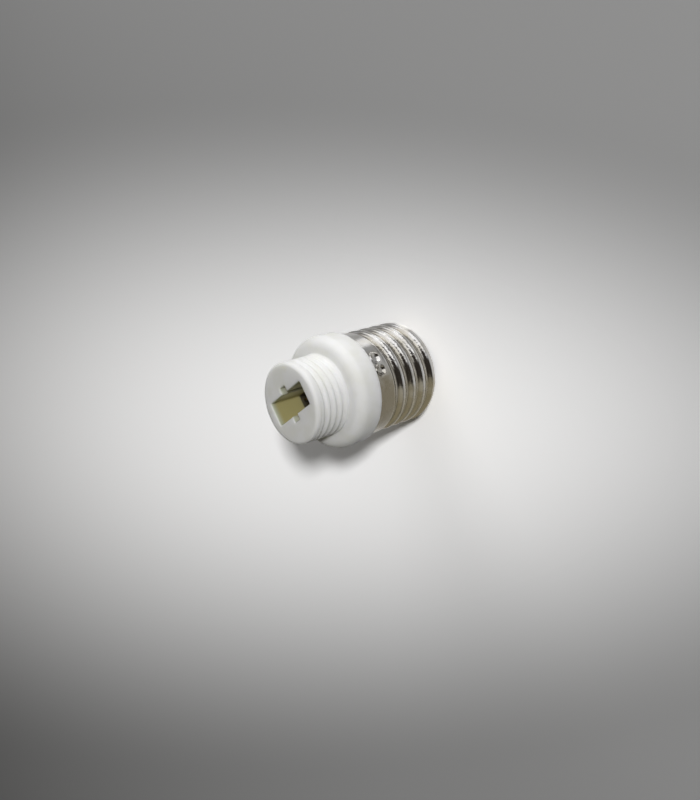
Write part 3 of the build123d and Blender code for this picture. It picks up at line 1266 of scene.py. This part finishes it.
@dataclass
class ScrewShell:
    """Rolled sheet shell: a straight wall with a helical groove, punched stakes, and a shoulder turned in.

    The wall has the radius of the thread's crests. The groove fades out below the skirt and above the
    shoulder. A stake's flat, lip and lip width are shares of its radius.
    """

    rim_z: float = Node.SHELL.high(2)
    lip_z: float = Node.SHELL.low(2)
    crest_r: float = Node.SHELL.high(0)
    root_r: float = 12.1
    lip_r: float = 8.5
    sheet: float = 0.35
    skirt_height: float = 3.7
    shoulder_z: float = 5.4
    shoulder_round: float = 2.6
    pitch: float = 3.629
    start_angle: float = 334.5
    start_z: float = 5.156
    foot_fade: Span = (6.6, 8.0)
    skirt_fade: Span = (21.3, 22.9)
    rim_round: float = 0.16
    stake_places: Span = (-6.9, 7.1)
    stake_count: int = 3
    stake_drop: float = 2.35
    stake_r: float = 1.25
    stake_depth: float = 0.45
    stake_flat: float = 0.3
    stake_lip: float = 0.21
    stake_lip_place: float = 1.1
    stake_lip_width: float = 0.17
    stake_lobes: int = 5
    stake_lobe_size: float = 0.4
    columns: int = 400
    stake_columns: Span = (6.0, 3.0)
    skirt_rows: int = 44
    thread_rows: int = 150
    level_rows: int = 2
    crease: float = 50.0
    finish: Finish = RolledNickel()

    def stake_angles(self) -> Array:
        """Angles in degrees of all stakes: each place, repeated evenly round the skirt."""
        turns = 360 / self.stake_count * np.arange(self.stake_count)
        return ((np.array(self.stake_places)[None, :] + turns[:, None]).ravel() + 180) % 360 - 180

    def groove(self, theta: Array, height: Array) -> Array:
        """Depth of the rolled groove below the crests.

        Crest and root are equal arcs that meet at a common tangent. With depth d and pitch p the arcs span
        an angle a with tan(a / 2) = 2 d / p, and their radius is p / (4 sin a). The depth is followed along
        the helix, so that it grows from nothing at the foot and goes back to nothing under the skirt.

        Args:
            theta: Angles in radians.
            height: Heights that broadcast with the angles.

        Returns:
            The depth [row, angle].
        """
        depth = self.crest_r - self.root_r
        span = 2 * math.atan(2 * depth / self.pitch)
        bend = self.pitch / (4 * math.sin(span))
        turns = (np.degrees(theta)[None, :] - self.start_angle) / 360
        along = (height - self.start_z) / self.pitch - turns
        turn = np.round(along)
        off = self.pitch * np.abs(along - turn)
        root = depth - bend + np.sqrt(np.maximum(bend**2 - off**2, 0))
        crest = bend - np.sqrt(np.maximum(bend**2 - (self.pitch / 2 - off) ** 2, 0))
        middle = self.start_z + self.pitch * (turn + turns)
        fade = smoothstep(*self.foot_fade, middle) * (1 - smoothstep(*self.skirt_fade, middle))
        return fade * np.where(off < self.pitch / 4, root, crest)

    def stakes(self, theta: Array, height: Array) -> Array:
        """Depth of the punched stakes: a flat-bottomed dimple less a thin raised lip round it.

        The dimple falls by a smooth ramp from the flat to its radius. The lip is a bell across its ring,
        times one plus a sine of a few lobes round it.

        Args:
            theta: Angles in radians.
            height: Heights that broadcast with the angles.

        Returns:
            The depth [row, angle], negative on the lip.
        """
        away = np.degrees(theta)[None, :, None] - self.stake_angles()[None, None, :]
        across = np.radians((away + 180) % 360 - 180) * self.crest_r
        up = (height - (self.rim_z - self.stake_drop))[:, :, None]
        off = np.sqrt(across**2 + up**2)
        dimple = self.stake_depth * (1 - smoothstep(self.stake_flat * self.stake_r, self.stake_r, off))
        lobes = 1 + self.stake_lobe_size * np.sin(self.stake_lobes * np.arctan2(up, across))
        ring = (off - self.stake_lip_place * self.stake_r) / (self.stake_lip_width * self.stake_r)
        lip = self.stake_lip * lobes * np.exp(-(ring**2))
        return (dimple - lip).sum(axis=-1)

    def build(self) -> None:
        """Makes the shell: the outside from the rim down to the lip, then the plain inside up again.

        Rows on the thread are moved by up to half a step, so that between jumps they climb with the helix.
        """
        theta = angles(self.columns, self.stake_angles(), *self.stake_columns)
        skirt_z = self.rim_z - self.skirt_height
        bend, thick = self.shoulder_round, self.sheet
        rise = (self.shoulder_z - self.lip_z) / (self.root_r - self.lip_r)
        slope = math.degrees(math.atan(rise))
        corner_z = self.shoulder_z + rise * (self.crest_r - self.root_r)
        bend_z = corner_z + bend * math.tan(math.radians(90 - slope) / 2)
        top_z = np.linspace(self.rim_z - self.rim_round, skirt_z, self.skirt_rows, endpoint=False)
        thread_z, step = np.linspace(skirt_z, bend_z, self.thread_rows, retstep=True)
        wall_z = np.concatenate([top_z, thread_z])
        wall = np.stack([np.full_like(wall_z, self.crest_r), wall_z], axis=-1)
        rim = arc((self.crest_r - self.rim_round, self.rim_z - self.rim_round), self.rim_round, 90, 0, 5)[:-1]
        turn_in = arc((self.crest_r - bend, bend_z), bend, 0, slope - 90, 14)[1:]
        lip = line(tuple(turn_in[-1]), (self.lip_r, self.lip_z), 8)[1:]
        inside = np.array(
            [
                (self.lip_r, self.lip_z),
                (self.lip_r, self.lip_z + thick),
                (self.root_r - thick, self.shoulder_z + thick),
                (self.root_r - thick, skirt_z),
                (self.crest_r - thick, skirt_z),
                (self.crest_r - thick, self.rim_z),
            ]
        )
        profile = np.vstack([rim, wall, turn_in, lip, inside])
        radius = np.repeat(profile[:, :1], len(theta), axis=1)
        height = np.repeat(profile[:, 1:], len(theta), axis=1)
        row, last = np.arange(len(profile))[:, None], len(rim) + len(wall)
        outer = row < last
        on_thread = (row > len(rim) + self.skirt_rows) & (row < last - self.level_rows)
        climb = self.pitch * theta / (2 * math.pi * abs(step))
        height = height + np.where(on_thread, abs(step) * (climb % 1 - 0.5)[None, :], 0)
        sunk = self.groove(theta, height) + self.stakes(theta, height)
        skin = Sheet(round_grid(radius - np.where(outer, sunk, 0), height, theta), loop_rows=True)
        make_piece("rolled_shell", [skin], self.finish, Node.SHELL, self.crease)


@dataclass
class CapEnd:
    """Insulator disc in the shell's foot and the contact button riveted through it."""

    top_z: float = Node.INSULATOR.high(2)
    foot_z: float = Node.INSULATOR.low(2)
    flange_r: float = Node.INSULATOR.high(0)
    button_r: float = 5.2
    boss_r: float = 8.45
    boss_round: float = 0.45
    bore_r: float = 1.35
    lip_z: float = 2.9
    flange_z: float = 5.6
    recess: float = 0.25
    recess_r: Span = (5.7, 7.2)
    disc_columns: int = 160
    button_round: float = 0.45
    button_ease: float = 0.1
    rim_step: float = 0.4
    hub_r: float = 0.4
    button_columns: int = 128
    shank_r: float = 1.28
    peened_r: float = 2.1
    peened_z: float = Node.CONTACT.high(2)
    peened_foot_z: float = 6.6
    insulator_finish: Finish = PressedInsulator()
    contact_finish: Finish = TurnedContact()

    def insulator(self) -> None:
        """Makes the disc: a turned ring with a rounded boss and a shallow groove round the button."""
        inner, outer = self.recess_r
        edge = self.boss_round
        profile = np.vstack(
            [
                line((self.bore_r, self.top_z), (self.flange_r, self.top_z), 6),
                line((self.flange_r, self.top_z), (self.flange_r, self.flange_z), 2),
                line((self.flange_r, self.flange_z), (self.boss_r, self.lip_z), 4),
                line((self.boss_r, self.lip_z), (self.boss_r, self.foot_z + edge), 4),
                arc((self.boss_r - edge, self.foot_z + edge), edge, 0, -90, 8),
                line((outer, self.foot_z), (outer - self.recess, self.foot_z + self.recess), 4),
                line((inner + self.recess, self.foot_z + self.recess), (inner, self.foot_z), 4),
                line((inner, self.foot_z), (self.bore_r, self.foot_z), 4),
                line((self.bore_r, self.foot_z), (self.bore_r, self.top_z), 3),
            ]
        )
        ring = Sheet(lathe(profile, angles(self.disc_columns)), loop_rows=True)
        make_piece("insulator_disc", [ring], self.insulator_finish, Node.INSULATOR)

    def contact(self) -> None:
        """Makes the button: flat foot with a rounded edge, shank, and peened head inside, turned as one."""
        edge, ease, hub = self.button_round, self.button_ease, self.hub_r
        profile = np.vstack(
            [
                line((hub, self.peened_z), (self.shank_r, self.peened_z - ease), 3),
                line((self.shank_r, self.peened_z - ease), (self.peened_r, self.peened_foot_z), 4),
                line((self.peened_r, self.peened_foot_z), (self.shank_r, self.peened_foot_z), 2),
                line((self.shank_r, self.peened_foot_z), (self.shank_r, self.foot_z), 4),
                line((self.shank_r, self.foot_z), (self.button_r - ease, self.foot_z), 4),
                line((self.button_r - ease, self.foot_z), (self.button_r, self.foot_z - ease), 2),
                arc((self.button_r - edge, edge), edge, 0, -90, 10),
                line((self.button_r - edge - self.rim_step, 0), (hub, 0), 10),
                np.array([[hub, 0]]),
            ]
        )
        button = Sheet(lathe(profile, angles(self.button_columns)), cap_first=True, cap_last=True)
        make_piece("contact_button", [button], self.contact_finish, Node.CONTACT)

    def build(self) -> None:
        """Makes both pieces."""
        self.insulator()
        self.contact()


@dataclass
class Internals:
    """Spring clips and retaining plate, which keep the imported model's own meshes."""

    clip_finish: Finish = SpringBrass()
    board_finish: Finish = FibreBoard()

    def build(self) -> None:
        """Dresses the nodes that stay as they are."""
        clip, board = self.clip_finish.material(), self.board_finish.material()
        dressed = {Node.CLIP_CENTRE: clip, Node.CLIP_SHELL: clip, Node.PLATE: board}
        for node, material in dressed.items():
            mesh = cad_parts[node.value].data
            mesh.materials.clear()
            mesh.materials.append(material)
            LOG.info("%s: packed mesh in %s", node.value, material.name)


@dataclass(frozen=True)
class Lamp:
    """A soft lamp aimed at the object. Shiny surfaces show the studio's walls and not the lamp.

    Attributes:
        role: What the lamp does.
        azimuth: Direction it stands in, in degrees from X.
        elevation: Angle above the floor in degrees.
        distance: Distance in metres.
        size: Width and height of the lamp in metres.
        power: Power in watts.
    """

    role: LampRole
    azimuth: float
    elevation: float
    distance: float
    size: Span
    power: float

    def build(self, aim: Vector) -> None:
        """Makes the lamp.

        Args:
            aim: Point that it shines at.
        """
        azimuth, elevation = math.radians(self.azimuth), math.radians(self.elevation)
        flat = math.cos(elevation)
        way = Vector((flat * math.cos(azimuth), flat * math.sin(azimuth), math.sin(elevation)))
        data = bpy.data.lights.new(f"lamp_{self.role.value}", "AREA")
        data.shape = "RECTANGLE"
        data.size, data.size_y = self.size
        data.energy = self.power
        lamp = bpy.data.objects.new(data.name, data)
        lamp.visible_glossy = False
        lamp.location = aim + self.distance * way
        lamp.rotation_euler = way.to_track_quat("Z", "Y").to_euler()
        bpy.context.scene.collection.objects.link(lamp)


@dataclass
class Studio:
    """Floor, lamps, world and camera.

    The camera looks at the adapter as the photograph does: from above its side, turned so that the
    adapter's foot is to the upper right.
    """

    floor_half: float = 900.0
    floor_drop: float = 0.05
    floor_rows: int = 9
    view: View = View()
    lens: float = 36.27
    sensor: float = 36.0
    clip_start: float = 5.0
    sky_up: Triple = (0.712, 0.691, 0.1206)
    sky_below: Colour = (0.58, 0.55, 0.46, 1.0)
    sky_wall: Colour = (0.046, 0.039, 0.033, 1.0)
    sky_behind: Colour = (0.55, 0.55, 0.55, 1.0)
    sky_above: Colour = (1.7, 1.7, 1.7, 1.0)
    sky_table: Span = (0.0, -0.12)
    sky_ceiling: Span = (0.56, 0.80)
    sky_back: Span = (0.25, -0.25)
    wall_share: float = 0.09
    ceiling_share: float = 0.26
    aim_z: float = 22.0
    lamps: tuple[Lamp, ...] = (
        Lamp(LampRole.KEY, -1.8, 37.0, 1.20, (0.11, 0.11), 9.90),
        Lamp(LampRole.RIM, 72.0, 2.0, 0.45, (0.24, 0.06), 1.00),
    )
    finish: Finish = PaleFloor()

    def floor(self) -> None:
        """Makes the floor, a square just under the contact."""
        steps = np.linspace(-self.floor_half, self.floor_half, self.floor_rows)
        x, y = np.meshgrid(steps, steps, indexing="ij")
        points = np.stack([x, y, np.full_like(x, -self.floor_drop)], axis=-1) * MM
        index = np.arange(x.size).reshape(x.shape)
        quads = np.stack([index[:-1, :-1], index[1:, :-1], index[1:, 1:], index[:-1, 1:]], axis=-1)
        mesh = bpy.data.meshes.new("floor")
        mesh.from_pydata(points.reshape(-1, 3).tolist(), [], quads.reshape(-1, 4).tolist())
        mesh.materials.append(self.finish.material())
        floor = bpy.data.objects.new("floor", mesh)
        bpy.context.scene.collection.objects.link(floor)

    def world(self) -> None:
        """Makes the studio's light from all sides: a table below, a dark wall and a ceiling above."""
        g = Graph(bpy.data.worlds.new("studio"))
        way = g.node("ShaderNodeTexCoord").outputs["Generated"]
        height, seen = g.dot(way, self.sky_up), g.seen()
        behind = g.ramp(g.dot(way, self.view.frame()[2]), *self.sky_back)
        wall = g.mix(behind, self.sky_wall, self.sky_behind)
        lower = g.mix(g.ramp(height, *self.sky_table), wall, self.sky_below)
        shares = [share + (1 - share) * seen for share in (self.wall_share, self.ceiling_share)]
        sides, ceiling = g.scale(lower, shares[0]), g.scale(self.sky_above[:3], shares[1])
        colour = g.mix(g.ramp(height, *self.sky_ceiling), sides, ceiling)
        background = g.node("ShaderNodeBackground", inputs={"Color": colour, "Strength": 1.0})
        g.node("ShaderNodeOutputWorld", inputs={"Surface": background.outputs[0]})
        bpy.context.scene.world = g.owner

    def camera(self) -> None:
        """Makes the camera at the photograph's viewing angle."""
        data = bpy.data.cameras.new("camera")
        data.lens = self.lens
        data.sensor_width = self.sensor
        data.clip_start = self.clip_start * MM
        camera = bpy.data.objects.new("camera", data)
        turn = Matrix(self.view.frame()).transposed().to_4x4()
        camera.matrix_world = Matrix.Translation(Vector(self.view.place) * MM) @ turn
        bpy.context.scene.collection.objects.link(camera)
        bpy.context.scene.camera = camera

    def build(self) -> None:
        """Makes the whole studio."""
        self.floor()
        self.world()
        self.camera()
        aim = Vector((0, 0, self.aim_z)) * MM
        for lamp in self.lamps:
            lamp.build(aim)
        bpy.context.scene.view_settings.view_transform = "Standard"


def main() -> None:
    """Builds the sub-assemblies and the studio."""
    logging.basicConfig(level=logging.INFO, format="%(message)s")
    SocketBody().build()
    ScrewShell().build()
    CapEnd().build()
    Internals().build()
    Studio().build()


if __name__ == "__main__":
    main()
